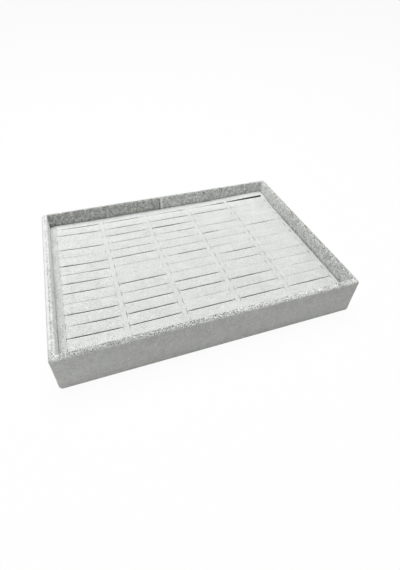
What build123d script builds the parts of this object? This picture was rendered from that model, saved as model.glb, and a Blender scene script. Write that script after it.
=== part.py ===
"""A flat velvet display tray with a lift-out ring insert.

The tray is a box of thin fibreboard, glued and pinned, with one long strip of
velvet that runs down the outside, over the rim and down the inside. The insert
is a pad of black foam on stiff card, faced with the same velvet, and a cutting
die has opened it with five columns of H-shaped ring slits.
X runs along the tray, Y from its front to its back, and Z up from the table.
The origin is the middle of the underside. Lengths are in millimetres.
"""

import os

from build123d import *

# The tray, over its velvet
tray_length = 350.0
tray_depth = 250.0
tray_height = 51.0
tray_corner_radius = 3.0

# Materials of the tray
velvet_thickness = 0.7
wall_thickness = 6.0
base_thickness = 3.0
edge_round = 2.0
cover_thickness = 0.5
liner_thickness = 0.8

# The velvet strip
inner_corner_radius = 1.0
inner_turn_width = 12.0
under_turn_width = 15.0
seam_offset = -4.0
seam_gap = 0.3

# The sheets glued under and inside the tray
cover_inset = 4.0
cover_corner_radius = 3.0
cover_step_run = 3.0
liner_clearance = 0.3

# The pins that hold the boards together
pin_diameter = 1.2
pin_head_diameter = 1.8
pin_head_height = 0.6
pin_tip_length = 1.5
pin_sink = 0.5
pin_grip = 12.0
corner_pin_edge_distance = 11.0
base_pin_corner_distance = 30.0
long_wall_pins = 4
short_wall_pins = 3

# The insert
insert_clearance = 0.5
insert_card_thickness = 2.0
foam_thickness = 23.0
insert_edge_round = 1.5
insert_corner_round = 0.8
insert_turn_width = 10.0

# The ring slits, five columns of fourteen, and the velvet left uncut round and between them
slit_columns = 5
slit_rows = 14
left_margin = 8.05
right_margin = 5.05
front_margin = 10.65
back_margin = 11.65
rib_width = 5.9
end_cut_gap = 5.3
cut_width = 0.3
widest_gape = 2.4

# How far each slit stands open at its left, middle and right, from the back row to the front
gape_shares = {"c": 0.0, "l": 0.1, "m": 0.2, "d": 0.35, "v": 0.5, "w": 1.0}
slit_gape_shares = (
    "mmm lll mmd clc mdw",
    "mml lml ldd ddd lcc",
    "ccc mdm vdl ccc ccc",
    "ddd mmm clm ccl ccc",
    "lcc lml lml ddc mmc",
    "ddd ddd lcl clc ccc",
    "lmd clc cdd mlc ccc",
    "ddm ccc clc mdd clc",
    "dmm ddd lll mml lll",
    "lll mmm ddd ccc clc",
    "ddd ddd ddd ddd clc",
    "lvv vdm lll mdm lmm",
    "ddd ddd ddd ddd ddd",
    "mmm lml mmm lml mmm",
)

# Room for a cutting tool to pass right through what it cuts
overrun = 5.0

# Levels, from the table up
turn_under = cover_thickness
base_bottom = turn_under + velvet_thickness
base_top = base_bottom + base_thickness
turn_in_top = base_top + velvet_thickness
liner_top = turn_in_top + liner_thickness
card_bottom = liner_top + velvet_thickness
foam_bottom = card_bottom + insert_card_thickness
foam_top = foam_bottom + foam_thickness
insert_top = foam_top + velvet_thickness
wall_top = tray_height - velvet_thickness

# Plan sizes
frame_length = tray_length - 2 * velvet_thickness
frame_depth = tray_depth - 2 * velvet_thickness
room_length = frame_length - 2 * wall_thickness
room_depth = frame_depth - 2 * wall_thickness
inside_length = room_length - 2 * velvet_thickness
inside_depth = room_depth - 2 * velvet_thickness
insert_length = inside_length - 2 * insert_clearance
insert_depth = inside_depth - 2 * insert_clearance
pad_length = insert_length - 2 * velvet_thickness
pad_depth = insert_depth - 2 * velvet_thickness

# The grid of slits
column_pitch = (insert_length - left_margin - right_margin + rib_width) / slit_columns
slit_length = column_pitch - rib_width
row_pitch = (insert_depth - front_margin - back_margin) / (slit_rows - 1)
end_cut_length = row_pitch - end_cut_gap


def block(length, depth, bottom, top, corner=0.0):
    """A block centred on the origin between two levels, with rounded upright edges."""
    outline = RectangleRounded(length, depth, corner) if corner else Rectangle(length, depth)
    return extrude(Plane.XY.offset(bottom) * outline, top - bottom)


def round_level_edges(solid, level, radius):
    """Rounds every edge of the solid that lies at one level."""
    edges = solid.edges().filter_by_position(Axis.Z, level, level)
    return fillet(edges, radius)


def frame_shape():
    """The boards glued up and rounded over, as one shape."""
    corner = tray_corner_radius - velvet_thickness
    shape = block(frame_length, frame_depth, base_bottom, wall_top, corner)
    shape = shape - block(room_length, room_depth, base_top, wall_top + overrun)
    shape = round_level_edges(shape, wall_top, edge_round)
    return round_level_edges(shape, base_bottom, edge_round)


def slab(low, high):
    """A block between two opposite corners."""
    size = [b - a for a, b in zip(low, high)]
    return Location(low) * Box(*size, align=(Align.MIN, Align.MIN, Align.MIN))


def pin(length):
    """A round wire pin that points along +Z, with its head's face at the origin."""
    radius = pin_diameter / 2
    outline = Polyline(
        (0, 0),
        (pin_head_diameter / 2, 0),
        (pin_head_diameter / 2, pin_head_height),
        (radius, pin_head_height),
        (radius, length - pin_tip_length),
        (0, length),
        close=True,
    )
    return revolve(Plane.XZ * make_face(outline), Axis.Z)


def pin_hole(length):
    """The space that a driven pin takes, with the punched mouth over its head."""
    mouth = Cylinder(pin_head_diameter / 2, pin_sink, align=(Align.CENTER, Align.CENTER, Align.MAX))
    return pin(length) + mouth


def corner_pin_places():
    """Where pins go through the front and back boards into the ends of the side boards."""
    heights = (base_top + corner_pin_edge_distance, wall_top - corner_pin_edge_distance)
    places = []
    for x_side in (-1, 1):
        for y_side in (-1, 1):
            for height in heights:
                x = x_side * (frame_length - wall_thickness) / 2
                y = y_side * (frame_depth / 2 - pin_sink)
                turn = Rotation(90 * y_side, 0, 0)
                places.append(Location((x, y, height)) * turn)
    return places


def base_pin_places():
    """Where pins go up through the base board into the walls."""
    long_run = frame_length - 2 * base_pin_corner_distance
    short_run = frame_depth - 2 * base_pin_corner_distance
    places = []
    for side in (-1, 1):
        for i in range(long_wall_pins):
            x = long_run * (i / (long_wall_pins - 1) - 1 / 2)
            places.append(Location((x, side * (frame_depth - wall_thickness) / 2, base_bottom + pin_sink)))
        for i in range(short_wall_pins):
            y = short_run * (i / (short_wall_pins - 1) - 1 / 2)
            places.append(Location((side * (frame_length - wall_thickness) / 2, y, base_bottom + pin_sink)))
    return places


def boards():
    """The base board and the four wall boards, with the holes that their pins make."""
    shape = frame_shape()
    corner_length = wall_thickness - pin_sink + pin_grip
    base_length = base_thickness - pin_sink + pin_grip
    holes = [place * pin_hole(corner_length) for place in corner_pin_places()]
    holes += [place * pin_hole(base_length) for place in base_pin_places()]
    shape = shape - holes
    x_end, y_end = tray_length / 2, tray_depth / 2
    x_wall, y_wall = room_length / 2, room_depth / 2
    base = slab((-x_end, -y_end, 0), (x_end, y_end, base_top))
    front = slab((-x_end, -y_end, base_top), (x_end, -y_wall, tray_height))
    back = slab((-x_end, y_wall, base_top), (x_end, y_end, tray_height))
    left = slab((-x_end, -y_wall, base_top), (-x_wall, y_wall, tray_height))
    right = slab((x_wall, -y_wall, base_top), (x_end, y_wall, tray_height))
    return {
        "base_board": shape & base,
        "front_wall_board": shape & front,
        "back_wall_board": shape & back,
        "left_wall_board": shape & left,
        "right_wall_board": shape & right,
        "wall_corner_pins": [place * pin(corner_length) for place in corner_pin_places()],
        "base_board_pins": [place * pin(base_length) for place in base_pin_places()],
    }


def mitre_cuts(length, depth, corner_gap, bottom, top):
    """Thin cuts on the diagonals at the four corners of a turned-in edge."""
    cuts = []
    for x_side in (-1, 1):
        for y_side in (-1, 1):
            reach = corner_gap * 2 ** 0.5
            turn = Rotation(0, 0, 45 * x_side * y_side)
            place = Location((x_side * length / 2, y_side * depth / 2, (bottom + top) / 2))
            cuts.append(place * turn * Box(2 * reach, seam_gap, top - bottom))
    return cuts


def velvet_wrap():
    """The strip of velvet glued round the walls, turned under the base and onto the floor."""
    round_over = edge_round + velvet_thickness
    shape = block(tray_length, tray_depth, turn_under, tray_height, tray_corner_radius)
    shape = shape - block(inside_length, inside_depth, turn_in_top, tray_height + overrun,
                          inner_corner_radius)
    shape = round_level_edges(shape, tray_height, round_over)
    shape = round_level_edges(shape, turn_under, round_over)
    floor_length = inside_length - 2 * inner_turn_width
    floor_depth = inside_depth - 2 * inner_turn_width
    under_length = tray_length - 2 * under_turn_width
    under_depth = tray_depth - 2 * under_turn_width
    shape = shape - block(floor_length, floor_depth, base_top, turn_in_top)
    shape = shape - block(under_length, under_depth, turn_under, base_bottom)
    shape = shape - frame_shape()
    seam = Location((seam_offset, frame_depth / 2, tray_height / 2))
    reach = 2 * (wall_thickness + inner_turn_width + under_turn_width)
    cuts = [seam * Box(seam_gap, reach, tray_height)]
    cuts += mitre_cuts(floor_length, floor_depth, inner_turn_width, base_top, turn_in_top)
    cuts += mitre_cuts(under_length, under_depth, under_turn_width - round_over, turn_under, base_bottom)
    return shape - cuts


def bottom_cover():
    """The sheet over the underside, lying over the turned-under velvet and up against the board."""
    step = base_bottom - turn_under
    outer_length = tray_length - 2 * under_turn_width
    outer_depth = tray_depth - 2 * under_turn_width
    sheet = block(tray_length - 2 * cover_inset, tray_depth - 2 * cover_inset, 0, cover_thickness,
                  cover_corner_radius)

    def raised(bottom):
        lower = Plane.XY.offset(bottom) * Rectangle(outer_length, outer_depth)
        upper = Plane.XY.offset(bottom + step) * Rectangle(outer_length - 2 * cover_step_run,
                                                          outer_depth - 2 * cover_step_run)
        return loft([lower, upper], ruled=True)

    return sheet + raised(turn_under) - raised(0)


def floor_liner():
    """The velvet-faced card on the floor of the tray, under the insert."""
    gap = 2 * liner_clearance
    return block(inside_length - gap, inside_depth - gap, turn_in_top, liner_top, inner_corner_radius)


def slit_outline(start, y, opening):
    """One H-shaped cut: a slit that gapes as told, with a cut across each of its ends."""
    left, middle, right = [(cut_width + gape_shares[c] * widest_gape) / 2 for c in opening]
    centre, end = start + slit_length / 2, start + slit_length
    lips = Polyline(
        (start, y - left),
        (centre, y - middle),
        (end, y - right),
        (end, y + right),
        (centre, y + middle),
        (start, y + left),
        close=True,
    )
    end_cut = Rectangle(cut_width, end_cut_length)
    return [make_face(lips), Location((start, y)) * end_cut, Location((end, y)) * end_cut]


def slit_cutters(bottom, top):
    """All the ring slits as blades between two levels."""
    faces = []
    for row in range(slit_rows):
        y = insert_depth / 2 - back_margin - row_pitch * row
        openings = slit_gape_shares[row % len(slit_gape_shares)].split()
        for column in range(slit_columns):
            start = left_margin - insert_length / 2 + column_pitch * column
            faces += slit_outline(start, y, openings[column % len(openings)])
    outline = Sketch() + faces
    return extrude(Plane.XY.offset(bottom) * outline, top - bottom)


def pad_shape():
    """The insert's card and foam as one shape, without its slits."""
    shape = block(pad_length, pad_depth, card_bottom, foam_top, insert_corner_round)
    return round_level_edges(shape, foam_top, insert_edge_round)


def insert_pieces():
    """The insert's card, foam pad and velvet facing."""
    pad = pad_shape()
    corner = insert_corner_round + velvet_thickness
    facing = block(insert_length, insert_depth, liner_top, insert_top, corner)
    facing = round_level_edges(facing, insert_top, insert_edge_round + velvet_thickness)
    opening_length = pad_length - 2 * insert_turn_width
    opening_depth = pad_depth - 2 * insert_turn_width
    facing = facing - pad - block(opening_length, opening_depth, liner_top, card_bottom)
    facing = facing - mitre_cuts(opening_length, opening_depth, insert_turn_width, liner_top, card_bottom)
    blades = slit_cutters(foam_bottom, insert_top + overrun)
    return {
        "insert_card": pad & block(insert_length, insert_depth, card_bottom, foam_bottom),
        "ring_foam": (pad & block(insert_length, insert_depth, foam_bottom, foam_top)) - blades,
        "insert_velvet": facing - blades,
    }


def write(name, piece):
    """Writes one node's piece, or group of pieces, under its name."""
    group = Compound(children=[p for p in piece]) if isinstance(piece, list) else piece
    export_step(group, f"parts/{name}.step")


def main():
    os.makedirs("parts", exist_ok=True)
    pieces = boards()
    pieces["velvet_wrap"] = velvet_wrap()
    pieces["bottom_cover"] = bottom_cover()
    pieces["floor_liner"] = floor_liner()
    pieces.update(insert_pieces())
    for name, piece in pieces.items():
        write(name, piece)


main()
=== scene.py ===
"""A velvet display tray with a lift-out ring insert.

The boards, the insert's card and the pins come from the frame, and get their finish here. The velvet
strip, the insert's velvet and foam, the floor's liner and the sheet under the base are modelled here.
The file is laid out as an add-on: property groups hold the sizes and colours, each piece or group of
like pieces has an operator, and a panel lists them.
"""

import math

import bmesh
import bpy
from bpy.props import FloatProperty, FloatVectorProperty, IntProperty, PointerProperty
from bpy.types import Operator, Panel, PropertyGroup
from mathutils import Matrix, Vector, noise


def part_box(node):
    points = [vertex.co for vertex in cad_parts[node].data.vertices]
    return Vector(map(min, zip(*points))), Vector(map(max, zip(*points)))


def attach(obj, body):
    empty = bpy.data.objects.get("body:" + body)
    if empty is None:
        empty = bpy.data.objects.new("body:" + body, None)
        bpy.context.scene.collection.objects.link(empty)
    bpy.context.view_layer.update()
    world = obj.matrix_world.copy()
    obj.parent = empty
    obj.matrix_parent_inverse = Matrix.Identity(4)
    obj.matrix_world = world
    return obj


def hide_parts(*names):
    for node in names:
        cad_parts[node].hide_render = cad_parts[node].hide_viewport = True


bl_info = {
    "name": "Velvet Ring Tray",
    "version": (1, 0, 0),
    "blender": (4, 5, 0),
    "location": "3D View > Sidebar > Ring Tray",
    "description": "Makes a velvet display tray with a lift-out ring insert",
    "category": "Object",
}

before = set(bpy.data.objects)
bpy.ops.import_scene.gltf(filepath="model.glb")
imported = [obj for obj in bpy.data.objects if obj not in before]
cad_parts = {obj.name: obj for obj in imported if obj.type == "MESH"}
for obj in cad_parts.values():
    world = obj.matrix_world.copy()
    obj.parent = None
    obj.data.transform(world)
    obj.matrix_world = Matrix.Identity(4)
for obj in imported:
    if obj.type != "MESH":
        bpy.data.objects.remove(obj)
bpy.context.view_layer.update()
MM = 0.001

# Segments of the rounded corners and edges
CORNER_STEPS = 6
RIM_STEPS = 6
INSERT_EDGE_STEPS = 5
LINER_EDGE_STEPS = 3

# Under these distances two places count as one, and two points of a mesh as the same
SAME_PLACE = 1e-6
SAME_POINT = 1e-7

# The cloth's crushed relief: its noise's dimension, lacunarity and octaves, and its size on the strip
RELIEF_NOISE = (0.8, 2.0, 3)
STRIP_RELIEF_SIZE = 7 * MM

# The strip's mesh lines where its painted light and shade turn: across the rim, in the corners and at the
# insert's top
RIM_LINE_SHARES = (0.28, 0.34, 0.4, 0.46, 0.52)
CORNER_LINE = 2.5 * MM
JOINT_SHADE_LINES = (-0.2 * MM, MM, 2.2 * MM)

# The strip's seam, measured from its middle: mesh lines, and the ends that roll up and tuck in
SEAM_LINES = (0.5 * MM, 1.0 * MM, 1.8 * MM, 2.6 * MM, 3.4 * MM)
SEAM_REACH = 2.5 * MM
SEAM_INSIDE_SHARE = 0.99
SEAM_ROLL_END = 0.8 * MM
SEAM_RIDGE = 0.22 * MM
SEAM_RIDGE_PLACE = 1.0 * MM
SEAM_RIDGE_WIDTH = 0.7 * MM
SEAM_TUCK = 0.35 * MM

# How far up a face looks where the strip turns into rim, and how far along an axis where it faces that way
LEVEL_FACE = (0.3, 0.7)
SPECKLED_FACE = (0.1, 0.7)
FACING = 0.5

# Painted light and shade on the outside and the inner walls, for how the light falls on each face, lighter
# above zero and darker below it. The inside of the front wall is painted as the right wall's is
OUTSIDE_TONE = -0.26
OUTSIDE_LEFT_GAIN = 0.1
OUTSIDE_LEFT_SHARES = (-1.0, -0.4)
OUTSIDE_TOP_LOSS = 0.08
OUTSIDE_TOP_SHARES = (0.3, 0.9)
CREST_SHARES = (-0.7, -0.12)
LEFT_WALL_TONE = 0.44
LEFT_WALL_BACK_GAIN = 0.2
LEFT_WALL_TURN = (-20 * MM, 80 * MM)
RIGHT_WALL_TONE = -0.14
RIGHT_WALL_BACK_GAIN = 0.36
RIGHT_WALL_TURN = (20 * MM, 110 * MM)
# Painted shade along the right wall's foot, just above the insert's top
RIGHT_WALL_JOINT_SHADE = 0.5
BACK_WALL_LEFT_TONE = -0.58
BACK_WALL_RIGHT_TONE = -0.26
# Painted shade along the back wall's foot and in its inner corners, and where and how wide the walls'
# painted foot shade lies
BACK_WALL_JOINT_SHADE = 0.25
BACK_WALL_CORNER_SHADE = 0.45
BACK_WALL_CORNER_SHADE_WIDTH = 1.5 * MM
JOINT_SHADE_HEIGHT = MM
JOINT_SHADE_WIDTH = 1.2 * MM

# The painted highlight and the painted shade line beside the seam: how strong, how far from the seam and
# how wide
SEAM_LIGHT = 0.8
SEAM_LIGHT_PLACE = 1.8 * MM
SEAM_LIGHT_WIDTH = 1.3 * MM
SEAM_SHADE = 0.7
SEAM_SHADE_PLACE = -0.7 * MM
SEAM_SHADE_WIDTH = 1.1 * MM

# Painted light and shade on the rim, and painted shade along the line on the left rim where the pile parts
FRONT_RIM_TONE = -0.6
FRONT_RIM_RIGHT_GAIN = 0.45
FRONT_RIM_RIGHT_SHARES = (-0.6, 0.7)
FRONT_RIM_CORNER_GAIN = 0.4
FRONT_RIM_CORNER_SHARES = (-0.5, 2.0)
BACK_RIM_LEFT_TONE = -0.85
BACK_RIM_RIGHT_TONE = -0.75
BACK_RIM_CORNER_GAIN = 0.35
BACK_RIM_CORNER_SHARES = (-1.0, 0.5)
BACK_RIM_OUTER_HIGHLIGHT = 1.1
BACK_RIM_OUTER_SHARES = (0.35, 0.55)
RIGHT_RIM_TONE = -0.6
RIGHT_RIM_BACK_GAIN = 0.2
LEFT_RIM_INNER_TONE = 0.02
LEFT_RIM_BACK_GAIN = 0.2
LEFT_RIM_OUTER_TONE = 0.3
LEFT_RIM_OUTER_SHARES = (0.3, 0.5)
LEFT_RIM_TURN = (-30 * MM, 90 * MM)
PARTING_SHADE = 0.7
PARTING_BACK_EASE = 0.35
PARTING_PLACE_SHARE = 0.4
PARTING_WIDTH = 0.6 * MM

# How speckled and how blotched the pile is
FRONT_RIM_SPECKLE = 0.52
FRONT_RIM_SPECKLE_GAIN = 0.3
FRONT_RIM_SPECKLE_SHARES = (-0.6, 0.0)
LEFT_RIM_SPECKLE = 0.2
RIM_SPECKLE = 0.65
PARTING_SPECKLE = 0.8
INSIDE_SPECKLE = 0.6
OUTSIDE_SPECKLE = 0.16
INSERT_SPECKLE = 0.27
LINER_SPECKLE = 0.3
INSIDE_MOTTLE = 0.65
OUTSIDE_MOTTLE = 0.2
INSERT_MOTTLE = 0.1
LINER_MOTTLE = 0.3

# Painted light and shade on the insert: shade along its left margin and towards its right side, where the
# walls shade it, a little shade towards the front, and light along the back
INSERT_TONE = 0.05
INSERT_LEFT_LOSS = 0.32
INSERT_LEFT_SHARES = (0.9, 1.2)
INSERT_FRONT_LOSS = 0.08
INSERT_FRONT_SHARES = (-1.0, 0.5)
INSERT_BACK_GAIN = 0.17
INSERT_BACK_SHARES = (0.7, 0.95)
INSERT_RIGHT_LOSS = 0.16
INSERT_RIGHT_SHARES = (0.8, 1.0)

# The velvet's finish
USUAL_LIGHTNESS = 0.72
TUFT_CONTRAST = 4.6
TIP_CONTRAST = 5.0
TIP_SHARE = 0.8
BLOTCH_CONTRAST = 3.2
DRIFT_CONTRAST = 0.35
DRIFT_SIZE = 18 * MM
TUFT_RELIEF = 0.45 * MM

# Size of the grain in each of the other finishes
FOAM_GRAIN = 0.6 * MM
SHEET_GRAIN = 0.8 * MM
BOARD_GRAIN = 0.9 * MM
CARD_GRAIN = 0.7 * MM
PIN_GRAIN = 0.4 * MM

# The insert's mesh: lines beside a slit, lines near its ends, and the steps along it and down the sides
LIP_LINES = (0.45 * MM, 1.1 * MM, 2.4 * MM, 4.2 * MM)
SLIT_END_LINE = 0.8 * MM
SLIT_END_REACH = 2 * MM
SLIT_STEP = 3.7 * MM
INSERT_SIDE_STEP = 4 * MM

# The insert's soft shape: its falling edge, lips, crown, flat hem and crushed relief
EDGE_FALL_DEPTH = 6 * MM
LEFT_FALL_SHARE = 1.0
RIGHT_FALL_SHARE = 0.4
FRONT_FALL_SHARE = 0.3
LIP_WIDTH = 0.9 * MM
LIP_DIP_LEAST = 0.1
LIP_DIP_GAIN = 3.0
END_DIP = 0.12 * MM
END_DIP_WIDTH = 0.8 * MM
END_PULL_REACH = 4 * MM
CROWN_RISE = (0.5 * MM, 5 * MM)
HEM_HEIGHT = MM
INSERT_RELIEF = 0.1 * MM
INSERT_RELIEF_SIZE = 9 * MM

# How the insert's left side swells, less at the back and at its very edge, and where it presses outwards
SWELL_BACK_LOSS = 0.7
SWELL_BACK_SHARES = (-4.0, 0.0)
SWELL_POWER = 1.5
SWELL_EDGE_SHARE = 0.55
SWELL_EDGE_GAIN = 0.45
LEFT_EASE_SHARES = (1.5, 0.0)

# How a slit closes towards its ends, and how far its end cuts open, on the right and on the left
GAPE_END_SHARE = 0.4
GAPE_MIDDLE_GAIN = 0.6
GAPE_END_REACH_SHARE = 0.09
RIGHT_END_CUT_SHARE = 0.2
RIGHT_END_CUT_GAIN = 0.9
LEFT_END_CUT_SHARE = 0.25
LEFT_END_CUT_GAIN = 0.65
LEFT_END_CUT_FRONT_GAIN = 0.45
FRONT_ROWS_SHARES = (0.65, 0.85)
END_CUT_NOISE = (0.73, 1.31, 4.2)
END_CUT_SPREAD = 0.8

# The floor's liner and the sheet under the base
LINER_EDGE_ROUND = 0.3 * MM
LINER_STEP = 4 * MM
COVER_THICKNESS = 0.5 * MM
COVER_INSET = 4 * MM
COVER_FOLD_RUN = 3 * MM
COVER_CORNER_ROUND = 3 * MM
COVER_STEP = 5 * MM

# The stage, in metres
FLOOR_HALF = 3.0
KEY_PLACE = (-0.1, 0.3, 1.62)
KEY_SIZE = 1.3
FLOOR_TINT = (0.86, 0.86, 0.84, 1.0)
FLOOR_SEEN_TINT = (0.95, 0.95, 0.95, 1.0)
FLOOR_WHITE_SHARE = 0.94

# The camera where the photograph was taken from, its turn in degrees and its lens in millimetres
CAMERA_PLACE = (-0.11266, -0.33937, 0.34592)
CAMERA_TURN = (48.369, -1.406, -18.885)
CAMERA_LENS = 22.64
CAMERA_SENSOR = 36.0
CAMERA_SHIFT_X = 0.0098
CAMERA_SHIFT_Y = -0.0468

# Properties that every group has of itself, which the panel leaves out
BUILT_IN_KEYS = ("rna_type", "name")

# Shares of the widest gape, each under a letter, and with these letters how far each slit stands open
# at its left, middle and right, from the back row to the front
GAPE_SHARES = {"c": 0.0, "l": 0.12, "m": 0.24, "d": 0.45, "v": 0.72}
SLIT_GAPE_SHARES = (
    "mdd mdm lmd lmd mmm",
    "ddd mdm mdd ddd lcc",
    "ccc ddm vvl ccc ccc",
    "ddd mmm lmd lmm ccc",
    "llc mmm lml vlc ldc",
    "vdd ddd mml lll ccc",
    "mmd lll cdd mlc llc",
    "ddm ccc lll cdd lcc",
    "ddl ddd lll cmm cll",
    "lll lmm ddd ccc lll",
    "ddd ddd ddd ddm cll",
    "cdd ddd cll mmm cll",
    "ddd ddd ddd ddm mdm",
    "mmm lml mmm lml mmm",
)


def length(name, description, millimetres):
    """A length property, given in millimetres and kept in metres."""
    return FloatProperty(name=name, description=description, default=millimetres * MM,
                         min=0.0, unit="LENGTH", precision=5)


def colour(name, description, value):
    """A colour property."""
    return FloatVectorProperty(name=name, description=description, default=value,
                               min=0.0, max=1.0, subtype="COLOR")


class TraySizes(PropertyGroup):
    """Sizes of the tray's velvet strip and glued sheets."""

    rim_width: length("Rim width", "Thickness of a wall with its velvet", 7.4)
    rim_round: length("Rim rounding", "Radius along the rim's inner edge", 1.6)
    rim_outer_round: length("Outer rim rounding", "Radius along the rim's outer edge", 3.3)
    foot_round: length("Foot rounding", "Radius along the bottom edge", 3.0)
    corner_round: length("Corner rounding", "Radius of the outer upright corners", 4.2)
    inner_corner_round: length("Inner corner rounding", "Radius inside the corners", 1.0)
    velvet: length("Velvet", "Thickness of the velvet", 0.7)
    turn_in: length("Turn-in", "Width of the velvet turned onto the floor", 12.0)
    turn_under: length("Turn-under", "Width of the velvet turned under the base", 15.0)
    mesh_step: length("Mesh step", "Spacing of the cloth's mesh", 2.2)
    crush: length("Crush", "Height of the pile's crushed relief", 0.16)
    seam_place: FloatProperty(name="Seam", description="Place of the strip's seam on the back wall",
                              default=-4.0 * MM, unit="LENGTH", precision=5)
    seam_gap: length("Seam gap", "Gap between the strip's two ends", 0.3)


class InsertSizes(PropertyGroup):
    """Sizes of the ring insert and its slits."""

    columns: IntProperty(name="Columns", description="Columns of ring slits", default=5, min=1)
    rows: IntProperty(name="Rows", description="Rows of ring slits", default=14, min=2)
    left_margin: length("Left margin", "Uncut velvet left of the slits", 8.05)
    right_margin: length("Right margin", "Uncut velvet right of the slits", 5.05)
    front_margin: length("Front margin", "From the front edge to the nearest slit", 10.65)
    back_margin: length("Back margin", "From the back edge to the nearest slit", 11.65)
    rib: length("Rib", "Uncut velvet between two columns", 5.9)
    end_cut_gap: length("End cut gap", "Uncut velvet between two end cuts", 5.3)
    cut: length("Cut width", "Width of a slit that lies closed", 0.07)
    widest_gape: length("Widest gape", "How far the widest slit stands open", 2.2)
    edge_round: length("Edge rounding", "Radius along the insert's top edge", 0.8)
    corner_round: length("Corner rounding", "Radius of the insert's upright corners", 1.0)
    turn_under: length("Turn-under", "Width of the velvet turned under the card", 10.0)
    end_cut: length("End cut", "How far an end cut stands open", 0.5)
    edge_fall: length("Edge fall", "How far the pad falls away at its edges", 0.8)
    edge_reach: length("Edge reach", "Width of the pad's falling edge", 9.0)
    left_ease: length("Left ease", "How far the left side presses towards the wall", 0.5)
    left_swell: length("Left swell", "How far the pad swells up along its left side", 2.8)
    swell_reach: length("Swell reach", "Width of the swollen left side", 60.0)
    lip_drop: length("Lip drop", "How far the velvet dips at a slit's lips", 0.45)
    crown: length("Crown", "Height of the foam's crown between slits", 0.25)
    corner_lift: length("Corner lift", "How far the back right corner stands up", 3.0)
    lift_length: length("Lift length", "Stretch of the back strip that rises to the corner", 112.0)
    lift_depth: length("Lift depth", "Stretch of the right side that rises to the corner", 36.0)
    lift_spread: length("Lift spread", "How far the rise reaches in from the right side", 20.0)


class TrayLook(PropertyGroup):
    """Colours of the velvet and of the other finishes, and the sizes of the pile."""

    # The velvet's two end colours. Its painted light and shade, speckle and blotches are mixed between them
    light: colour("Light pile", "Pile that lies towards the light", (0.86, 0.875, 0.86))
    dark: colour("Dark pile", "Pile that is brushed the other way", (0.44, 0.447, 0.425))
    grain: length("Grain", "Size of the pile's tufts", 1.15)
    patch: length("Patch", "Size of the pile's brushed patches", 4.5)
    foam: colour("Foam", "Foam that shows in the open slits", (0.025, 0.025, 0.028))
    board: colour("Fibreboard", "The tray's boards", (0.52, 0.40, 0.27))
    card: colour("Card", "The stiff card under the foam", (0.45, 0.43, 0.40))
    steel: colour("Pins", "The wire pins in the boards", (0.62, 0.63, 0.65))
    sheet: colour("Bottom sheet", "The sheet glued under the base", (0.42, 0.43, 0.44))


class StageLook(PropertyGroup):
    """Light and background."""

    key: FloatProperty(name="Key light", description="Power of the large soft light", default=23.0,
                       min=0.0, unit="POWER")
    fill: FloatProperty(name="Fill", description="Strength of the light from all round",
                        default=0.29, min=0.0)


def tray():
    """The sizes of the tray's velvet strip."""
    return bpy.context.scene.ring_tray_sizes


def insert():
    """The sizes of the insert."""
    return bpy.context.scene.ring_insert_sizes


def look():
    """The colours of the finishes and the sizes of the pile."""
    return bpy.context.scene.ring_tray_look


def loop_at(bm, half_x, half_y, radius, z, keep_face=False):
    """The edges of a level rounded rectangle, all of them with as many points."""
    before = set(bm.faces)
    place = Matrix.Translation((0.0, 0.0, z)) @ Matrix.Diagonal((half_x, half_y, 1.0, 1.0))
    corners = bmesh.ops.create_grid(bm, x_segments=1, y_segments=1, size=1.0, matrix=place)["verts"]
    bmesh.ops.bevel(bm, geom=corners, offset=radius, offset_type="OFFSET", segments=CORNER_STEPS,
                    profile=0.5, affect="VERTICES", material=-1)
    face = next(f for f in bm.faces if f not in before)
    edges = face.edges[:]
    if not keep_face:
        bmesh.ops.delete(bm, geom=[face], context="FACES_ONLY")
    return edges


def band(bm, loops):
    """Joins each loop to the next with a strip of faces and turns all of them outwards."""
    pairs = list(zip(loops, loops[1:]))
    for first, second in pairs[::2] + pairs[1::2]:
        bmesh.ops.bridge_loops(bm, edges=first + second)
    bmesh.ops.recalc_face_normals(bm, faces=bm.faces[:])
    highest = max(bm.faces, key=lambda f: f.calc_center_median().z)
    if highest.normal.z < 0:
        bmesh.ops.reverse_faces(bm, faces=bm.faces[:])


def round_edges(bm, edges, radius, segments):
    """Rounds edges over."""
    bmesh.ops.bevel(bm, geom=edges, offset=radius, offset_type="OFFSET", segments=segments,
                    profile=0.5, affect="EDGES", clamp_overlap=False, material=-1)
    bmesh.ops.remove_doubles(bm, verts=bm.verts[:], dist=SAME_POINT)
    bm.normal_update()


def cut_lines(bm, axis, places, where=None):
    """Cuts the mesh along planes square to an axis, all over or only where told."""
    normal = Vector((0.0, 0.0, 0.0))
    normal[axis] = 1.0
    for place in places:
        geom = bm.verts[:] + bm.edges[:] + bm.faces[:]
        if where is not None:
            faces = [f for f in bm.faces if where(f.calc_center_median())]
            geom = list({item for f in faces for item in (f, *f.edges, *f.verts)})
        bmesh.ops.bisect_plane(bm, geom=geom, dist=SAME_POINT, plane_co=normal * place,
                               plane_no=normal)


def spaced(low, high, step):
    """Places spread evenly between two ends, about a step apart."""
    count = max(1, round((high - low) / step))
    return [low + (high - low) * i / count for i in range(1, count)]


def finished(bm, name, material, thickness=0.0):
    """Makes the object from its mesh, smooth shaded, and gives a cloth its thickness inwards."""
    bm.normal_update()
    mesh = bpy.data.meshes.new(name)
    bm.to_mesh(mesh)
    bm.free()
    mesh.polygons.foreach_set("use_smooth", [True] * len(mesh.polygons))
    mesh.materials.append(material)
    piece = bpy.data.objects.new(name, mesh)
    bpy.context.scene.collection.objects.link(piece)
    if thickness:
        cloth = piece.modifiers.new("Solidify", "SOLIDIFY")
        cloth.thickness = thickness
        cloth.offset = -1.0
    return piece


def hump(value, middle, width):
    """A soft hump: 1 at its middle, and falling away to both sides."""
    return math.exp(-((value - middle) / width) ** 2)


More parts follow.
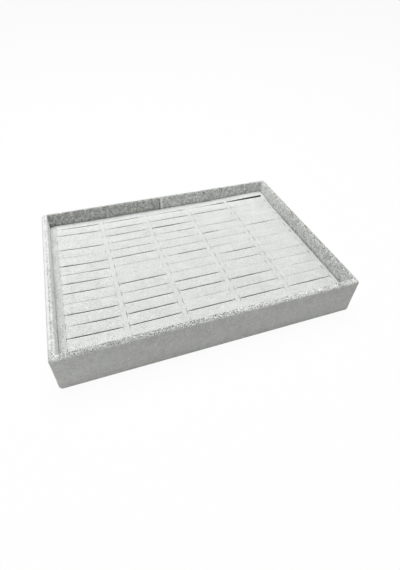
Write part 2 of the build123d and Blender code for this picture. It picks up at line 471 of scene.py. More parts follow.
def smooth_step(value, low, high):
    """Rises smoothly from 0 at one end to 1 at the other."""
    t = min(1.0, max(0.0, (value - low) / (high - low)))
    return t * t * (3 - 2 * t)


def step_between(value, start, size, shares):
    """Rises smoothly from 0 to 1 between two shares of a size, both counted from a start."""
    first, second = (start + share * size for share in shares)
    return smooth_step(value, first, second)


def crush(place, size):
    """Soft random relief from about -1 to 1 with features of a size."""
    return noise.fractal(place / size, *RELIEF_NOISE)


def shift(bm, moves):
    """Moves every vertex by its own amount, once all the amounts are known."""
    for v, move in zip(bm.verts, moves):
        v.co += move


def press_relief(bm, depth, size, lowest):
    """Moves the cloth above a level in and out a little along its normals."""
    bm.normal_update()
    moves = []
    for v in bm.verts:
        share = 0.0 if v.co.z < lowest else 1.0
        moves.append(v.normal * (depth * share * crush(v.co, size)))
    shift(bm, moves)


def paint_shading_and_pile(bm, painted_shading_at, speckle_at, mottle_at):
    """Keeps the painted light and shade, and how speckled and how blotched the pile is, at each point, for
    the finish.
    """
    bm.normal_update()
    for name, value_at in (("painted_shading", painted_shading_at), ("speckle", speckle_at), ("mottle", mottle_at)):
        layer = bm.verts.layers.float.new(name)
        for v in bm.verts:
            v[layer] = value_at(v)


def is_inside(place, inner_x, inner_y):
    """Whether a point lies, seen from above, inside the tray or on the inner third of its rim."""
    third = tray().rim_width / 3
    return abs(place.x) < inner_x + third and abs(place.y) < inner_y + third


def strip_painted_shading(v, top, inner_x, inner_y, insert_top):
    """Painted light and shade on the strip, lighter or darker than usual."""
    s = tray()
    place, normal = v.co, v.normal
    rim = rim_painted_shading(place, inner_x, inner_y)
    if is_inside(place, inner_x, inner_y):
        level = smooth_step(normal.z, *LEVEL_FACE) * smooth_step(place.z, top - s.rim_outer_round, top)
        wall = wall_painted_shading(place, normal, inner_x, insert_top)
        return wall + (rim - wall) * level
    # Painted shade on the outer walls, a little lighter towards the left and darker towards the top,
    # blended over the outer rounding into the rim's
    left = 1 - step_between(place.x, 0.0, inner_x, OUTSIDE_LEFT_SHARES)
    upper = step_between(place.z, 0.0, top, OUTSIDE_TOP_SHARES)
    outside = OUTSIDE_TONE + OUTSIDE_LEFT_GAIN * left - OUTSIDE_TOP_LOSS * upper
    crest = step_between(place.z, top, s.rim_outer_round, CREST_SHARES)
    return outside + (rim - outside) * crest


def wall_painted_shading(place, normal, inner_x, insert_top):
    """Painted light and shade on the inner walls: darkest at the back, with painted shade along their foot
    at the insert except at the left.
    """
    # Painted shade along the foot of the walls, just above the insert's top
    joint_shade = hump(place.z - insert_top, JOINT_SHADE_HEIGHT, JOINT_SHADE_WIDTH)
    if normal.y < -FACING:
        away = place.x - tray().seam_place
        # Painted shade in the back wall's inner corners
        corner = hump(inner_x - abs(place.x), 0.0, BACK_WALL_CORNER_SHADE_WIDTH)
        edge = BACK_WALL_CORNER_SHADE * corner + BACK_WALL_JOINT_SHADE * joint_shade
        # Painted shade over the back wall, deeper left of the seam, with a painted highlight right of the
        # seam and painted shade in its gap
        if away > 0:
            return SEAM_LIGHT * hump(away, SEAM_LIGHT_PLACE, SEAM_LIGHT_WIDTH) + BACK_WALL_RIGHT_TONE - edge
        return BACK_WALL_LEFT_TONE - edge - SEAM_SHADE * hump(away, SEAM_SHADE_PLACE, SEAM_SHADE_WIDTH)
    # Painted light on the left wall, more towards the back
    if normal.x > FACING:
        return LEFT_WALL_TONE + LEFT_WALL_BACK_GAIN * smooth_step(place.y, *LEFT_WALL_TURN)
    # Painted shade on the right wall and the front wall's inside, lighter towards the back
    plain = RIGHT_WALL_TONE - RIGHT_WALL_JOINT_SHADE * joint_shade
    return plain + RIGHT_WALL_BACK_GAIN * smooth_step(place.y, *RIGHT_WALL_TURN)


def rim_painted_shading(place, inner_x, inner_y):
    """Painted light and shade on the rim: light at the left, shade at the right and on the back's inner
    half.
    """
    s = tray()
    # Painted shade on the front rim, lighter towards the right and at the left corner
    if -place.y > inner_y:
        corner = 1 - step_between(place.x, -inner_x, s.rim_width, FRONT_RIM_CORNER_SHARES)
        right = step_between(place.x, 0.0, inner_x, FRONT_RIM_RIGHT_SHARES)
        return FRONT_RIM_TONE + FRONT_RIM_RIGHT_GAIN * right + FRONT_RIM_CORNER_GAIN * corner
    # Painted shade on the back rim's inner half, with a painted highlight on its outer half
    if place.y > inner_y and place.x > -inner_x:
        corner = step_between(place.x, inner_x, s.rim_width, BACK_RIM_CORNER_SHARES)
        plain = BACK_RIM_LEFT_TONE if place.x < s.seam_place else BACK_RIM_RIGHT_TONE
        outer = step_between(place.y, inner_y, s.rim_width, BACK_RIM_OUTER_SHARES)
        return plain + BACK_RIM_CORNER_GAIN * corner + BACK_RIM_OUTER_HIGHLIGHT * outer * (1 - corner)
    # Painted shade on the right rim, a little lighter towards the back
    if place.x > inner_x and place.y < inner_y:
        return RIGHT_RIM_TONE + RIGHT_RIM_BACK_GAIN * smooth_step(place.y, 0.0, inner_y)
    # Painted light on the left rim, lighter on its outer half, with painted shade along the parting
    outer = step_between(-place.x, inner_x, s.rim_width, LEFT_RIM_OUTER_SHARES)
    back = smooth_step(place.y, *LEFT_RIM_TURN)
    inner = LEFT_RIM_INNER_TONE + LEFT_RIM_BACK_GAIN * back
    parting = (PARTING_SHADE - PARTING_BACK_EASE * back) * parting_at(place, inner_x, inner_y)
    return inner + (LEFT_RIM_OUTER_TONE - inner) * outer - parting


def parting_at(place, inner_x, inner_y):
    """How near a point is to the line along the left rim where the pile parts."""
    s = tray()
    if abs(place.y) > inner_y + s.rim_width / 2 or place.x > 0:
        return 0.0
    return hump(-place.x - inner_x, PARTING_PLACE_SHARE * s.rim_width, PARTING_WIDTH)


def strip_speckle(v, top, inner_x, inner_y):
    """How speckled the strip's pile is: most along the front rim, least on the outside."""
    s = tray()
    rim = smooth_step(v.normal.z, *SPECKLED_FACE) * smooth_step(v.co.z, top - s.rim_outer_round, top)
    if -v.co.y > inner_y:
        right = step_between(v.co.x, 0.0, inner_x, FRONT_RIM_SPECKLE_SHARES)
        rim *= FRONT_RIM_SPECKLE + FRONT_RIM_SPECKLE_GAIN * right
    else:
        plain = LEFT_RIM_SPECKLE if v.co.x < -inner_x else RIM_SPECKLE
        rim *= max(plain, PARTING_SPECKLE * parting_at(v.co, inner_x, inner_y))
    inside = is_inside(v.co, inner_x, inner_y) and v.co.z < top - s.rim_round / 2
    return max(rim, INSIDE_SPECKLE if inside else OUTSIDE_SPECKLE)


def strip_mottle(v, inner_x, inner_y):
    """How blotched the strip's pile is: crushed most inside the tray."""
    return INSIDE_MOTTLE if is_inside(v.co, inner_x, inner_y) else OUTSIDE_MOTTLE


def make_wrap():
    """The velvet strip: floor turn-in, inner wall, rim, outer wall and turn-under."""
    s = tray()
    low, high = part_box("velvet_wrap")
    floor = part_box("floor_liner")[0].z
    insert_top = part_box("insert_velvet")[1].z
    inner_x, inner_y = high.x - s.rim_width, high.y - s.rim_width
    in_x, in_y = inner_x - s.turn_in, inner_y - s.turn_in
    under_x, under_y = high.x - s.turn_under, high.y - s.turn_under
    bm = bmesh.new()
    turned_in = loop_at(bm, in_x, in_y, s.inner_corner_round, floor)
    foot = loop_at(bm, inner_x, inner_y, s.inner_corner_round, floor)
    inner_rim = loop_at(bm, inner_x, inner_y, s.inner_corner_round, high.z)
    outer_rim = loop_at(bm, high.x, high.y, s.corner_round, high.z)
    edge = loop_at(bm, high.x, high.y, s.corner_round, low.z)
    turned_under = loop_at(bm, under_x, under_y, s.corner_round, low.z)
    band(bm, [turned_in, foot, inner_rim, outer_rim, edge, turned_under])
    round_edges(bm, inner_rim, s.rim_round, RIM_STEPS)
    round_edges(bm, outer_rim, s.rim_outer_round, RIM_STEPS)
    round_edges(bm, edge, s.foot_round, RIM_STEPS)
    clear_x, clear_y = in_x - s.mesh_step, in_y - s.mesh_step
    cut_lines(bm, 0, spaced(-clear_x, clear_x, s.mesh_step))
    cut_lines(bm, 1, spaced(-clear_y, clear_y, s.mesh_step))
    cut_lines(bm, 2, spaced(low.z + s.foot_round, high.z - s.rim_outer_round, s.mesh_step))
    cut_lines(bm, 0, [CORNER_LINE - inner_x, inner_x - CORNER_LINE])
    cut_lines(bm, 2, [insert_top + height for height in JOINT_SHADE_LINES])

    def on_rim(place):
        return place.z > high.z - s.rim_round / 2

    for share in RIM_LINE_SHARES:
        rim_x, rim_y = inner_x + share * s.rim_width, inner_y + share * s.rim_width
        cut_lines(bm, 0, [-rim_x, rim_x], on_rim)
        cut_lines(bm, 1, [-rim_y, rim_y], on_rim)
    open_seam(bm)
    press_relief(bm, s.crush, STRIP_RELIEF_SIZE, low.z + s.foot_round)
    paint_shading_and_pile(bm, lambda v: strip_painted_shading(v, high.z, inner_x, inner_y, insert_top),
               lambda v: strip_speckle(v, high.z, inner_x, inner_y),
               lambda v: strip_mottle(v, inner_x, inner_y))
    piece = finished(bm, "velvet_wrap_cloth", velvet_material(), s.velvet)
    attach(piece, "tray")
    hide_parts("velvet_wrap")
    return piece


def on_back(place):
    """Whether a point lies in the tray's back half."""
    return place.y > 0


def open_seam(bm):
    """Parts the strip at its seam and rolls the two ends in a little."""
    s = tray()
    half = s.seam_gap / 2
    steps = (half, *SEAM_LINES)
    cut_lines(bm, 0, [s.seam_place + side * step for step in steps for side in (-1, 1)], on_back)
    gap = []
    for f in bm.faces:
        middle = f.calc_center_median()
        if on_back(middle) and abs(middle.x - s.seam_place) < half * SEAM_INSIDE_SHARE:
            gap.append(f)
    bmesh.ops.delete(bm, geom=gap, context="FACES")
    bm.normal_update()
    for v in bm.verts:
        away = abs(v.co.x - s.seam_place)
        if on_back(v.co) and away < SEAM_REACH:
            roll = smooth_step(away, half, SEAM_ROLL_END)
            ridge = hump(away, SEAM_RIDGE_PLACE, SEAM_RIDGE_WIDTH)
            v.co += v.normal * (SEAM_RIDGE * ridge - SEAM_TUCK * (1 - roll))


def velvet_material():
    """Short crushed pile: tufts, brushed patches and a soft sheen."""
    found = bpy.data.materials.get("crushed_velvet")
    if found:
        return found
    material = bpy.data.materials.new("crushed_velvet")
    material.use_nodes = True
    nodes, links = material.node_tree.nodes, material.node_tree.links
    shader = nodes["Principled BSDF"]
    place = nodes.new("ShaderNodeTexCoord").outputs["Object"]

    def cloud(size, detail, roughness, distortion=0.0):
        node = nodes.new("ShaderNodeTexNoise")
        node.inputs["Scale"].default_value = 1 / size
        node.inputs["Detail"].default_value = detail
        node.inputs["Roughness"].default_value = roughness
        node.inputs["Distortion"].default_value = distortion
        links.new(place, node.inputs["Vector"])
        return node.outputs["Fac"]

    def maths(kind, a, b):
        node = nodes.new("ShaderNodeMath")
        node.operation = kind
        for socket, value in zip(node.inputs, (a, b)):
            if isinstance(value, (int, float)):
                socket.default_value = value
            else:
                links.new(value, socket)
        return node.outputs[0]

    def kept(name):
        node = nodes.new("ShaderNodeAttribute")
        node.attribute_name = name
        return node.outputs["Fac"]

    def centred(value, contrast):
        return maths("MULTIPLY", maths("SUBTRACT", value, 0.5), contrast)

    patches = cloud(look().patch, detail=2.0, roughness=0.6, distortion=0.5)
    tufts = cloud(look().grain, detail=1.0, roughness=0.6)
    tips = cloud(look().grain * TIP_SHARE, detail=0.0, roughness=0.5)
    pile = maths("ADD", centred(tufts, TUFT_CONTRAST), centred(tips, TIP_CONTRAST))
    blotches = maths("MULTIPLY", centred(patches, BLOTCH_CONTRAST), kept("mottle"))
    speckled = maths("ADD", blotches, maths("MULTIPLY", pile, kept("speckle")))
    drift = centred(cloud(DRIFT_SIZE, detail=2.0, roughness=0.5), DRIFT_CONTRAST)
    # The painted light and shade, the speckle, the blotches and the drift move the velvet's colour between
    # its dark and its light
    lightness = maths("ADD", maths("ADD", maths("ADD", speckled, drift), USUAL_LIGHTNESS), kept("painted_shading"))
    mix = nodes.new("ShaderNodeMix")
    mix.data_type = "RGBA"
    mix.clamp_factor = False
    mix.clamp_result = True
    links.new(lightness, mix.inputs["Factor"])
    mix.inputs["A"].default_value = (*look().dark, 1.0)
    mix.inputs["B"].default_value = (*look().light, 1.0)
    links.new(mix.outputs["Result"], shader.inputs["Base Color"])
    bump = nodes.new("ShaderNodeBump")
    bump.inputs["Strength"].default_value = 0.5
    bump.inputs["Distance"].default_value = TUFT_RELIEF
    links.new(tufts, bump.inputs["Height"])
    links.new(bump.outputs["Normal"], shader.inputs["Normal"])
    shader.inputs["Roughness"].default_value = 0.95
    shader.inputs["Specular IOR Level"].default_value = 0.2
    shader.inputs["Sheen Weight"].default_value = 0.25
    shader.inputs["Sheen Roughness"].default_value = 0.5
    return material


def plain_material(name, colour_value, grain_size, roughness, contrast):
    """A matte finish with a fine random grain in its colour and relief."""
    material = bpy.data.materials.new(name)
    material.use_nodes = True
    nodes, links = material.node_tree.nodes, material.node_tree.links
    shader = nodes["Principled BSDF"]
    place = nodes.new("ShaderNodeTexCoord").outputs["Object"]
    grain = nodes.new("ShaderNodeTexNoise")
    grain.inputs["Scale"].default_value = 1 / grain_size
    grain.inputs["Detail"].default_value = 3.0
    links.new(place, grain.inputs["Vector"])
    mix = nodes.new("ShaderNodeMix")
    mix.data_type = "RGBA"
    links.new(grain.outputs["Fac"], mix.inputs["Factor"])
    mix.inputs["A"].default_value = (*[c * (1 - contrast) for c in colour_value], 1.0)
    mix.inputs["B"].default_value = (*[min(1.0, c * (1 + contrast)) for c in colour_value], 1.0)
    links.new(mix.outputs["Result"], shader.inputs["Base Color"])
    bump = nodes.new("ShaderNodeBump")
    bump.inputs["Strength"].default_value = 0.4
    bump.inputs["Distance"].default_value = grain_size / 3
    links.new(grain.outputs["Fac"], bump.inputs["Height"])
    links.new(bump.outputs["Normal"], shader.inputs["Normal"])
    shader.inputs["Roughness"].default_value = roughness
    return material


def slit_grid():
    """Where the slits are: the row heights from the back, and each column's start and end."""
    s = insert()
    low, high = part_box("insert_velvet")
    pitch = (high.x - low.x - s.left_margin - s.right_margin + s.rib) / s.columns
    columns = [(low.x + s.left_margin + pitch * i, low.x + s.left_margin + pitch * (i + 1) - s.rib)
               for i in range(s.columns)]
    row_pitch = (high.y - low.y - s.front_margin - s.back_margin) / (s.rows - 1)
    rows = [high.y - s.back_margin - row_pitch * i for i in range(s.rows)]
    return rows, columns, (row_pitch - s.end_cut_gap) / 2


def gape_share_at(row, column, along):
    """How far a slit stands open, of the widest, at a share of its length."""
    words = SLIT_GAPE_SHARES[row % len(SLIT_GAPE_SHARES)].split()
    left, middle, right = [GAPE_SHARES[c] for c in words[column % len(words)]]
    inwards = smooth_step(min(along, 1 - along), 0.0, GAPE_END_REACH_SHARE)
    taper = GAPE_END_SHARE + GAPE_MIDDLE_GAIN * inwards
    if along < 0.5:
        return taper * (left + (middle - left) * along * 2)
    return taper * (middle + (right - middle) * (along * 2 - 1))


def end_cut_at(row, column, at_left):
    """How far an end cut stands open: more towards the right, and at the left column's front rows."""
    s = insert()
    across = column / max(1, s.columns - 1)
    front = smooth_step(row / max(1, s.rows - 1), *FRONT_ROWS_SHARES)
    share = RIGHT_END_CUT_SHARE + RIGHT_END_CUT_GAIN * across * across
    if at_left:
        share = LEFT_END_CUT_SHARE + LEFT_END_CUT_GAIN * across
        share += LEFT_END_CUT_FRONT_GAIN * front * (1 - across) ** 3
    row_step, column_step, layer = END_CUT_NOISE
    uneven = noise.noise(Vector((row * row_step, column * column_step, layer)))
    return s.end_cut * share * (1 + END_CUT_SPREAD * uneven)


def lift_at(place, middle, rows, last_end, reach, high):
    """How far the insert stands up towards its back right corner, for a point and its faces' middle."""
    s = insert()
    if middle.y > rows[0]:
        return s.corner_lift * smooth_step(place.x, high.x - s.lift_length, high.x - s.right_margin)
    depth = rows[0] - place.y
    fall = 1 - smooth_step(depth, 0.0, s.lift_depth)
    if middle.x > last_end or place.x > last_end:
        return s.corner_lift * fall
    near = smooth_step(place.x, last_end - s.lift_spread, last_end) * smooth_step(depth, 0.0, reach)
    return s.corner_lift * fall * near


def cut_slits(bm, level):
    """Opens every H-shaped cut in the flat top at a level and shapes its lips."""
    rows, columns, reach = slit_grid()
    xs = []
    for start, end in columns:
        xs += [start, end]
        xs += [start - SLIT_END_LINE, end + SLIT_END_LINE, start + SLIT_END_LINE, end - SLIT_END_LINE]
        xs += [start + SLIT_END_REACH, end - SLIT_END_REACH]
        xs += spaced(start + SLIT_END_REACH, end - SLIT_END_REACH, SLIT_STEP)
    ys = []
    for y in rows:
        ys += [y, y + reach, y - reach]
        ys += [y + side * step for step in LIP_LINES for side in (-1, 1)]
    cut_lines(bm, 0, sorted(xs))
    cut_lines(bm, 1, sorted(ys))
    cut_lines(bm, 1, [(rows[i] + rows[i + 1]) / 2 for i in range(len(rows) - 1)])
    cuts = []
    for e in bm.edges:
        a, b = (v.co for v in e.verts)
        if abs(a.z - level) > SAME_PLACE or abs(b.z - level) > SAME_PLACE:
            continue
        if on_slit((a + b) / 2, abs(a.y - b.y) < SAME_POINT, rows, columns, reach):
            cuts.append(e)
    bmesh.ops.split_edges(bm, edges=cuts)
    shape_lips(bm, level, rows, columns, reach)


def nearest(value, places):
    """The index of the nearest place and how far above it the value is."""
    index = min(range(len(places)), key=lambda i: abs(value - places[i]))
    return index, value - places[index]


def on_slit(place, runs_along_x, rows, columns, reach):
    """Whether an edge with this middle lies on a slit or on one of its end cuts."""
    above = nearest(place.y, rows)[1]
    for start, end in columns:
        if runs_along_x and abs(above) < SAME_PLACE and start < place.x < end:
            return True
        at_end = min(abs(place.x - start), abs(place.x - end)) < SAME_PLACE
        if not runs_along_x and abs(above) < reach and at_end:
            return True
    return False


def edge_fall_at(place, edge):
    """How far the pad falls away at a place: most along the left side, not at all along the back."""
    s = insert()
    sides = ((edge.x + place.x, LEFT_FALL_SHARE), (edge.x - place.x, RIGHT_FALL_SHARE),
             (edge.y + place.y, FRONT_FALL_SHARE))
    total = 0.0
    for inset, share in sides:
        total += share * (1 - min(1.0, max(0.0, inset / s.edge_reach))) ** 2
    return s.edge_fall * min(1.0, total)


def faces_middle(v):
    """The middle of the faces round a vertex, which tells the two lips of a cut apart."""
    return sum((f.calc_center_median() for f in v.link_faces), Vector()) / len(v.link_faces)


def lip_move(place, middle, rows, column, ends, reach):
    """How a point of the flat top moves for the slit beside it in one column."""
    s = insert()
    start, end = ends
    row, above = nearest(place.y, rows)
    side = 1.0 if middle.y > rows[row] else -1.0
    along = (place.x - start) / (end - start)
    near_end = min(place.x - start, end - place.x)
    open_share = gape_share_at(row, column, min(1.0, max(0.0, along)))
    fade = 1 - smooth_step(abs(above), 0.0, reach)
    dip = math.exp(-abs(above) / LIP_WIDTH)
    move = Vector((0.0, 0.0, 0.0))
    move.y += side * (s.cut + s.widest_gape * open_share) / 2 * fade
    move.z -= s.lip_drop * dip * min(1.0, LIP_DIP_LEAST + LIP_DIP_GAIN * open_share)
    if abs(above) < reach + SAME_PLACE:
        bow = 1 - (above / reach) ** 2
        move.z -= END_DIP * math.exp(-near_end / END_DIP_WIDTH) * bow
        at_left = place.x - start < end - place.x
        pull = (1 - (above / reach) ** 4) * (1 - smooth_step(near_end, 0.0, END_PULL_REACH))
        move.x += end_cut_at(row, column, at_left) * pull * (1 if at_left else -1)
    move.z += s.crown * smooth_step(abs(above), *CROWN_RISE)
    return move


def shape_lips(bm, level, rows, columns, reach):
    """Moves each slit's lips apart, dips them and crowns the pad between the slits."""
    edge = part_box("insert_velvet")[1]
    moves = []
    for v in bm.verts:
        if abs(v.co.z - level) > SAME_PLACE:
            fall = edge_fall_at(v.co, edge) * smooth_step(v.co.z, level - EDGE_FALL_DEPTH, level)
            moves.append(Vector((0.0, 0.0, -fall)))
            continue
        middle = faces_middle(v)
        move = Vector((0.0, 0.0, 0.0))
        for column, (start, end) in enumerate(columns):
            if start - SAME_PLACE < v.co.x < end + SAME_PLACE and start < middle.x < end:
                move = lip_move(v.co, middle, rows, column, (start, end), reach)
        move.z -= edge_fall_at(v.co, edge)
        moves.append(move)
    shift(bm, moves)


def swell_at(place, edge):
    """How far the pad swells up at a place near its left side, where the wall presses on it."""
    s = insert()
    inset = edge.x + place.x
    fall = 1 - min(1.0, max(0.0, (inset - s.left_margin) / s.swell_reach))
    back = 1 - SWELL_BACK_LOSS * step_between(place.y, edge.y, s.left_margin, SWELL_BACK_SHARES)
    inwards = SWELL_EDGE_SHARE + SWELL_EDGE_GAIN * smooth_step(inset, 0.0, s.left_margin)
    return s.left_swell * back * fall ** SWELL_POWER * inwards


def lift_corner(bm, low, high):
    """Raises the insert's left side and its back right corner, the sides stretching with them."""
    rows, columns, reach = slit_grid()
    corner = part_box("insert_velvet")[1]
    rises = []
    for v in bm.verts:
        lift = lift_at(v.co, faces_middle(v), rows, columns[-1][1], reach, corner)
        rises.append((lift + swell_at(v.co, corner)) * smooth_step(v.co.z, low, high))
    for v, rise in zip(bm.verts, rises):
        v.co.z += rise


def insert_painted_shading(v, high):
    """Painted light and shade on the insert's velvet, lighter or darker than usual."""
    s = insert()
    left = 1 - step_between(v.co.x + high.x, 0.0, s.left_margin, INSERT_LEFT_SHARES)
    front = 1 - step_between(v.co.y, 0.0, high.y, INSERT_FRONT_SHARES)
    back = step_between(v.co.y, 0.0, high.y, INSERT_BACK_SHARES)
    right = step_between(v.co.x, 0.0, high.x, INSERT_RIGHT_SHARES)
    darker = INSERT_TONE - INSERT_LEFT_LOSS * left - INSERT_FRONT_LOSS * front
    return darker + INSERT_BACK_GAIN * back - INSERT_RIGHT_LOSS * right


def make_insert_velvet():
    """The insert's facing: slit top, rounded edges, sides and turn-under."""
    s = insert()
    low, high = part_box("insert_velvet")
    bm = bmesh.new()
    under_x, under_y = high.x - s.turn_under, high.y - s.turn_under
    turned_under = loop_at(bm, under_x, under_y, s.corner_round, low.z)
    foot = loop_at(bm, high.x, high.y, s.corner_round, low.z)
    shoulder = loop_at(bm, high.x, high.y, s.corner_round, high.z, keep_face=True)
    band(bm, [turned_under, foot, shoulder])
    round_edges(bm, shoulder, s.edge_round, INSERT_EDGE_STEPS)
    cut_lines(bm, 2, spaced(low.z, high.z - s.edge_round, INSERT_SIDE_STEP))
    cut_slits(bm, high.z)
    lift_corner(bm, low.z, high.z - s.edge_round)
    for v in bm.verts:
        if v.co.x < low.x + s.edge_round and v.co.z > low.z + HEM_HEIGHT:
            v.co.x -= s.left_ease * step_between(v.co.y, 0.0, low.y, LEFT_EASE_SHARES)
    press_relief(bm, INSERT_RELIEF, INSERT_RELIEF_SIZE, low.z + HEM_HEIGHT)
    paint_shading_and_pile(bm, lambda v: insert_painted_shading(v, high), lambda v: INSERT_SPECKLE, lambda v: INSERT_MOTTLE)
    piece = finished(bm, "insert_velvet_cloth", velvet_material(), tray().velvet)
    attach(piece, "insert")
    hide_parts("insert_velvet")
    return piece


def make_foam():
    """The black foam pad, its slits cut straight down to the card."""
    low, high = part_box("ring_foam")
    bm = bmesh.new()
    loop_at(bm, high.x, high.y, insert().corner_round, high.z, keep_face=True)
    cut_slits(bm, high.z)
    lift_corner(bm, low.z, high.z)
    lowered = bmesh.ops.extrude_face_region(bm, geom=bm.faces[:])["geom"]
    for item in lowered:
        if isinstance(item, bmesh.types.BMVert):
            item.co.z = low.z
    bmesh.ops.recalc_face_normals(bm, faces=bm.faces[:])
    finish = plain_material("black_foam", look().foam, FOAM_GRAIN, roughness=0.95, contrast=0.5)
    piece = finished(bm, "ring_foam_pad", finish)
    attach(piece, "insert")
    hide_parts("ring_foam")
    return piece


def make_floor_liner():
    """The velvet-faced card on the tray's floor."""
    low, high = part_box("floor_liner")
    bm = bmesh.new()
    corner = tray().inner_corner_round
    foot = loop_at(bm, high.x, high.y, corner, low.z, keep_face=True)
    edge = loop_at(bm, high.x, high.y, corner, high.z, keep_face=True)
    band(bm, [foot, edge])
    round_edges(bm, edge, LINER_EDGE_ROUND, LINER_EDGE_STEPS)
    cut_lines(bm, 0, spaced(low.x, high.x, LINER_STEP))
    cut_lines(bm, 1, spaced(low.y, high.y, LINER_STEP))
    paint_shading_and_pile(bm, lambda v: 0.0, lambda v: LINER_SPECKLE, lambda v: LINER_MOTTLE)
    piece = finished(bm, "floor_liner_sheet", velvet_material())
    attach(piece, "tray")
    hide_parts("floor_liner")
    return piece


def make_bottom_cover():
    """The sheet over the underside, held up against the board inside the turned-under velvet."""
    low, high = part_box("bottom_cover")
    bm = bmesh.new()
    ledge = tray().turn_under - COVER_INSET
    fold_x, fold_y = high.x - ledge, high.y - ledge
    rise_x, rise_y = fold_x - COVER_FOLD_RUN, fold_y - COVER_FOLD_RUN
    edge = loop_at(bm, high.x, high.y, COVER_CORNER_ROUND, low.z)
    fold = loop_at(bm, fold_x, fold_y, COVER_CORNER_ROUND, low.z)
    rise = loop_at(bm, rise_x, rise_y, COVER_CORNER_ROUND, high.z - COVER_THICKNESS, keep_face=True)
    band(bm, [edge, fold, rise])
    bmesh.ops.reverse_faces(bm, faces=bm.faces[:])
    cut_lines(bm, 0, spaced(low.x, high.x, COVER_STEP))
    cut_lines(bm, 1, spaced(low.y, high.y, COVER_STEP))
    finish = plain_material("bonded_fibre", look().sheet, SHEET_GRAIN, roughness=0.95, contrast=0.35)
    piece = finished(bm, "bottom_cover_sheet", finish, COVER_THICKNESS)
    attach(piece, "tray")
    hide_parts("bottom_cover")
    return piece


def dress_nodes(names, material):
    """Gives carried-over nodes their finish."""
    for name in names:
        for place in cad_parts[name].material_slots:
            place.material = material


def make_stage():
    """Floor, light, background and camera."""
    s = bpy.context.scene.ring_tray_stage
    scene = bpy.context.scene
    bm = bmesh.new()
    bmesh.ops.create_grid(bm, x_segments=1, y_segments=1, size=FLOOR_HALF)
    floor = finished(bm, "floor", floor_material())
    world = bpy.data.worlds.new("studio")
    scene.world = world
    world.use_nodes = True
    nodes, links = world.node_tree.nodes, world.node_tree.links
    background = nodes["Background"]
    background.inputs["Color"].default_value = (1.0, 1.0, 1.0, 1.0)
    strength = nodes.new("ShaderNodeMix")
    links.new(seen_rays(nodes, links), strength.inputs["Factor"])
    strength.inputs["A"].default_value = s.fill
    strength.inputs["B"].default_value = 1.0
    links.new(strength.outputs["Result"], background.inputs["Strength"])
    add_light("key", KEY_PLACE, KEY_SIZE, s.key)
    add_camera()
    scene.view_settings.view_transform = "Standard"


def seen_rays(nodes, links):
    """A socket that is 1 for rays that see the background, directly, in a gloss or through glass."""
    rays = nodes.new("ShaderNodeLightPath")
    total = rays.outputs["Is Camera Ray"]
    for name in ("Is Glossy Ray", "Is Transmission Ray"):
        either = nodes.new("ShaderNodeMath")
        either.operation = "MAXIMUM"
        links.new(total, either.inputs[0])
        links.new(rays.outputs[name], either.inputs[1])
        total = either.outputs[0]
    return total


def floor_material():
    """A pale table that the camera sees as white, with the tray's shadow kept."""
    material = bpy.data.materials.new("pale_table")
    material.use_nodes = True
    nodes, links = material.node_tree.nodes, material.node_tree.links
    shader = nodes["Principled BSDF"]
    seen = seen_rays(nodes, links)
    tint = nodes.new("ShaderNodeMix")
    tint.data_type = "RGBA"
    links.new(seen, tint.inputs["Factor"])
    tint.inputs["A"].default_value = FLOOR_TINT
    tint.inputs["B"].default_value = FLOOR_SEEN_TINT
    links.new(tint.outputs["Result"], shader.inputs["Base Color"])
    shader.inputs["Roughness"].default_value = 0.9
    shader.inputs["Specular IOR Level"].default_value = 0.0
    white = nodes.new("ShaderNodeEmission")
    white.inputs["Strength"].default_value = 1.0
    share = nodes.new("ShaderNodeMath")
    share.operation = "MULTIPLY"
    share.inputs[1].default_value = FLOOR_WHITE_SHARE
    links.new(seen, share.inputs[0])
    mix = nodes.new("ShaderNodeMixShader")
    links.new(share.outputs[0], mix.inputs["Fac"])
    links.new(shader.outputs[0], mix.inputs[1])
    links.new(white.outputs[0], mix.inputs[2])
    links.new(mix.outputs[0], nodes["Material Output"].inputs["Surface"])
    return material


def add_light(name, place, size, power):
    """A square soft light aimed at the tray."""
    data = bpy.data.lights.new(name, "AREA")
    data.size = size
    data.energy = power
    light = bpy.data.objects.new(name, data)
    light.location = place
    light.rotation_euler = (-Vector(place)).to_track_quat("-Z", "Y").to_euler()
    bpy.context.scene.collection.objects.link(light)


def add_camera():
    """The camera where the photograph was taken from."""
    data = bpy.data.cameras.new("camera")
    camera = bpy.data.objects.new("camera", data)
    bpy.context.scene.collection.objects.link(camera)
    bpy.context.scene.camera = camera
    data.lens = CAMERA_LENS
    data.sensor_width = CAMERA_SENSOR
    data.shift_x = CAMERA_SHIFT_X
    data.shift_y = CAMERA_SHIFT_Y
    camera.location = CAMERA_PLACE
    camera.rotation_euler = [math.radians(a) for a in CAMERA_TURN]


class RINGTRAY_OT_wrap(Operator):
    """Makes the velvet strip round the tray's walls"""

    bl_idname = "ring_tray.wrap"
    bl_label = "Velvet Strip"

    def execute(self, context):
        make_wrap()
        return {"FINISHED"}


class RINGTRAY_OT_sheets(Operator):
    """Makes the floor liner and the sheet under the base"""

    bl_idname = "ring_tray.sheets"
    bl_label = "Liner and Bottom Sheet"

    def execute(self, context):
        make_floor_liner()
        make_bottom_cover()
        return {"FINISHED"}


class RINGTRAY_OT_insert_velvet(Operator):
    """Makes the insert's slit velvet facing"""

    bl_idname = "ring_tray.insert_velvet"
    bl_label = "Insert Velvet"

    def execute(self, context):
        make_insert_velvet()
        return {"FINISHED"}


class RINGTRAY_OT_foam(Operator):
    """Makes the insert's foam pad"""

    bl_idname = "ring_tray.foam"
    bl_label = "Insert Foam"

    def execute(self, context):
        make_foam()
        return {"FINISHED"}


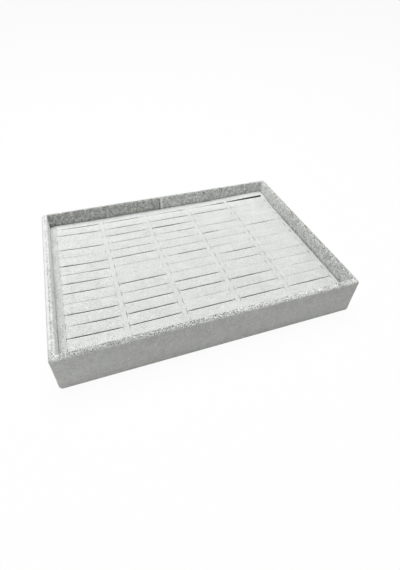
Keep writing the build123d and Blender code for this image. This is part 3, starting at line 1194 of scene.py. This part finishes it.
class RINGTRAY_OT_boards(Operator):
    """Finishes the boards, the card and the pins"""

    bl_idname = "ring_tray.boards"
    bl_label = "Boards, Card and Pins"

    def execute(self, context):
        walls = [f"{side}_wall_board" for side in ("front", "back", "left", "right")]
        fibreboard = plain_material("fibreboard", look().board, BOARD_GRAIN, roughness=0.8, contrast=0.25)
        dress_nodes(["base_board", *walls], fibreboard)
        card = plain_material("grey_card", look().card, CARD_GRAIN, roughness=0.9, contrast=0.2)
        dress_nodes(["insert_card"], card)
        pins = plain_material("pin_steel", look().steel, PIN_GRAIN, roughness=0.3, contrast=0.1)
        pins.node_tree.nodes["Principled BSDF"].inputs["Metallic"].default_value = 1.0
        dress_nodes(["wall_corner_pins", "base_board_pins"], pins)
        return {"FINISHED"}


class RINGTRAY_OT_stage(Operator):
    """Makes the floor, the light, the background and the camera"""

    bl_idname = "ring_tray.stage"
    bl_label = "Stage"

    def execute(self, context):
        make_stage()
        return {"FINISHED"}


class RINGTRAY_PT_panel(Panel):
    """Lists the tray's pieces, sizes and colours"""

    bl_idname = "RINGTRAY_PT_panel"
    bl_label = "Ring Tray"
    bl_space_type = "VIEW_3D"
    bl_region_type = "UI"
    bl_category = "Ring Tray"

    def draw(self, context):
        for operator in OPERATORS:
            self.layout.operator(operator.bl_idname)
        for name in GROUPS:
            group = getattr(context.scene, name)
            for key in group.bl_rna.properties.keys():
                if key not in BUILT_IN_KEYS:
                    self.layout.prop(group, key)


OPERATORS = (
    RINGTRAY_OT_wrap,
    RINGTRAY_OT_sheets,
    RINGTRAY_OT_insert_velvet,
    RINGTRAY_OT_foam,
    RINGTRAY_OT_boards,
    RINGTRAY_OT_stage,
)
GROUPS = {
    "ring_tray_sizes": TraySizes,
    "ring_insert_sizes": InsertSizes,
    "ring_tray_look": TrayLook,
    "ring_tray_stage": StageLook,
}


def register():
    """Registers the groups, the operators and the panel."""
    for cls in (*GROUPS.values(), *OPERATORS, RINGTRAY_PT_panel):
        bpy.utils.register_class(cls)
    for name, group in GROUPS.items():
        setattr(bpy.types.Scene, name, PointerProperty(type=group))


def unregister():
    """Takes the groups, the operators and the panel away again."""
    for name in GROUPS:
        delattr(bpy.types.Scene, name)
    for cls in reversed((*GROUPS.values(), *OPERATORS, RINGTRAY_PT_panel)):
        bpy.utils.unregister_class(cls)


def main():
    """Makes every piece and the stage."""
    register()
    bpy.ops.ring_tray.wrap()
    bpy.ops.ring_tray.sheets()
    bpy.ops.ring_tray.insert_velvet()
    bpy.ops.ring_tray.foam()
    bpy.ops.ring_tray.boards()
    bpy.ops.ring_tray.stage()


if __name__ == "__main__":
    main()
